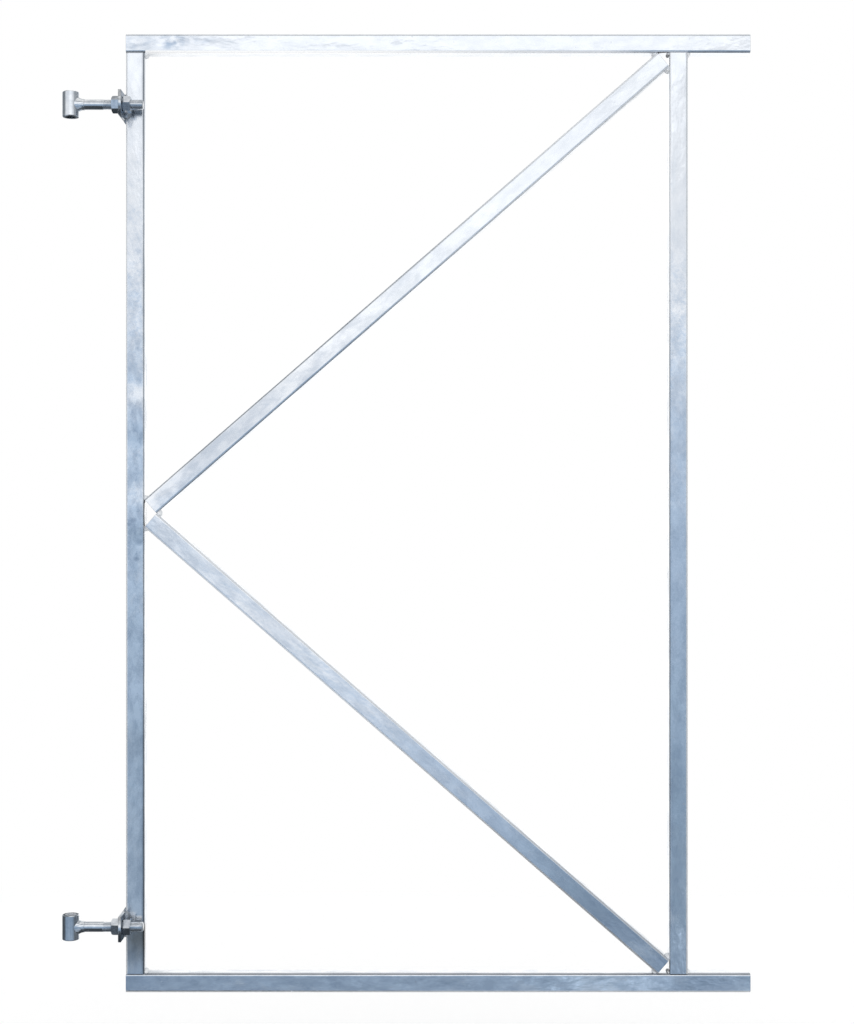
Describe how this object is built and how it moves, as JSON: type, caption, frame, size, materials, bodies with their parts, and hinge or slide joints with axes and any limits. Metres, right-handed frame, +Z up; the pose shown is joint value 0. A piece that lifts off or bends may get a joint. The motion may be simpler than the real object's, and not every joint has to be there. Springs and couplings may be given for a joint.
{
  "type": "garden gate frame",
  "caption": "Welded square-tube steel frame of a garden gate leaf, K-braced, hung on adjustable eye bolts that nuts clamp in strip plates; boards fasten to its back.",
  "frame": {"origin": "on the hinge axis, at the lower face of the lower eye, which rests on the shoulder of its hinge pin", "axes": "+X from the hinge side to the latch side, +Y from the front to the back, +Z up along the hinge axis"},
  "size_m": [1.1075, 0.072, 1.55],
  "materials": {
    "tube_zinc": "hot-dip galvanised, mottled",
    "fitting_zinc": "hot-dip galvanised, satin",
    "nut_zinc": "zinc, bright on the crests",
    "bead_zinc": "galvanised weld bead"
  },
  "bodies": {
    "lower_eye_bolt": {"lower_eye": "fitting_zinc", "lower_bolt": "nut_zinc", "lower_eye_weld": "bead_zinc"},
    "gate_frame": {"top_rail": "tube_zinc", "bottom_rail": "tube_zinc", "hinge_stile": "tube_zinc", "latch_stile": "tube_zinc", "upper_brace": "tube_zinc", "lower_brace": "tube_zinc", "top_hinge_weld": "bead_zinc", "bottom_hinge_weld": "bead_zinc", "top_latch_weld": "bead_zinc", "bottom_latch_weld": "bead_zinc", "brace_apex_weld": "bead_zinc", "upper_plate": "fitting_zinc", "upper_plate_weld": "bead_zinc", "upper_outer_nut": "nut_zinc", "upper_inner_nut": "nut_zinc", "lower_plate": "fitting_zinc", "lower_plate_weld": "bead_zinc", "lower_outer_nut": "nut_zinc", "lower_inner_nut": "nut_zinc"},
    "upper_eye_bolt": {"upper_eye": "fitting_zinc", "upper_bolt": "nut_zinc", "upper_eye_weld": "bead_zinc"}
  },
  "joints": [
    {"name": "lower_bolt_adjust", "type": "slide", "parent": "lower_eye_bolt", "child": "gate_frame", "axis": [1, 0, 0], "range_m": [-0.015, 0.015]},
    {"name": "upper_bolt_adjust", "type": "slide", "parent": "gate_frame", "child": "upper_eye_bolt", "axis": [-1, 0, 0], "range_m": [-0.015, 0.015]}
  ]
}
